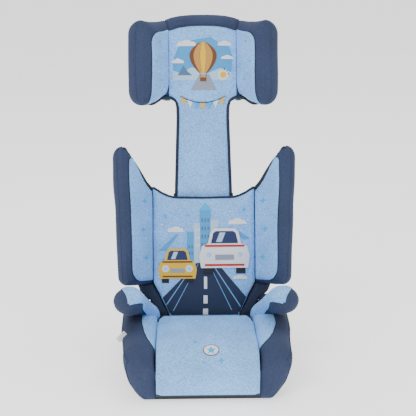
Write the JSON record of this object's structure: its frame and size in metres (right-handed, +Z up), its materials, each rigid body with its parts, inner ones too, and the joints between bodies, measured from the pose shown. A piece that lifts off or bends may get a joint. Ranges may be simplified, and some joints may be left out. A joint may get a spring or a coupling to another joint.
{
  "type": "booster seat",
  "caption": "High-back child booster seat: padded base with hooked armrests, tilting winged backrest and a headrest that slides on a sprung latch",
  "frame": {"origin": "on the flat bottom of the base's centre boss, at the middle of the seat where it stands on the car's seat", "axes": "+Z up, +X to the child's left, the child faces -Y; the backrest and headrest lean back 17 degrees from +Z"},
  "size_m": [0.4444, 0.5768, 0.7927],
  "materials": {
    "light_fabric": "matte",
    "navy_fabric": "matte",
    "black_plastic": "satin",
    "green_plastic": "satin",
    "foam": "matte",
    "steel": "satin",
    "label_fabric": "matte"
  },
  "bodies": {
    "base": {"base_shell": "black_plastic", "hinge_bar": "steel", "bar_clip_left": "steel", "bar_clip_right": "steel", "armrest_horn_left": "black_plastic", "armrest_horn_right": "black_plastic", "armrest_pad_left": "navy_fabric", "armrest_pad_right": "navy_fabric", "seat_cushion": "light_fabric", "side_cover_left": "navy_fabric", "side_cover_right": "navy_fabric", "care_label": "label_fabric"},
    "backrest": {"backrest_shell": "black_plastic", "guide_rail_left": "black_plastic", "guide_rail_right": "black_plastic", "rail_screw_left_1": "steel", "rail_screw_left_2": "steel", "rail_screw_right_1": "steel", "rail_screw_right_2": "steel", "backrest_pad": "light_fabric", "side_foam_left": "foam", "side_foam_right": "foam", "wing_pad_left": "navy_fabric", "wing_pad_right": "navy_fabric", "lower_side_pad_left": "navy_fabric", "lower_side_pad_right": "navy_fabric", "hinge_hook_left": "black_plastic", "hinge_hook_right": "black_plastic", "hook_screw_left": "steel", "hook_screw_right": "steel", "lever_housing": "black_plastic", "housing_screw_left": "steel", "housing_screw_right": "steel", "lever_pin": "steel", "lever_spring": "steel"},
    "headrest": {"headrest_spine": "black_plastic", "headrest_shell": "black_plastic", "head_screw_left_1": "steel", "head_screw_left_2": "steel", "head_screw_right_1": "steel", "head_screw_right_2": "steel", "head_pad": "light_fabric", "head_wing_pad_left": "navy_fabric", "head_wing_pad_right": "navy_fabric", "head_top_pad": "navy_fabric", "neck_pad": "light_fabric", "belt_guide_left": "green_plastic", "belt_guide_right": "green_plastic", "guide_screw_left": "steel", "guide_screw_right": "steel"},
    "lever": {"release_lever": "black_plastic"}
  },
  "joints": [
    {"name": "backrest_tilt", "type": "hinge", "parent": "base", "child": "backrest", "pos_m": [0, 0.15, 0.078], "axis": [1, 0, 0], "range_deg": [0, 8]},
    {"name": "headrest_height", "type": "slide", "parent": "backrest", "child": "headrest", "axis": [0, 0.2924, 0.9563], "range_m": [-0.12, 0]},
    {"name": "lever_press", "type": "hinge", "parent": "backrest", "child": "lever", "pos_m": [0, 0.24357, 0.29513], "axis": [1, 0, 0], "range_deg": [0, 12], "stiffness_Nm_per_rad": 0.6, "springref_deg": -8.59, "deforming": ["lever_spring"]}
  ]
}
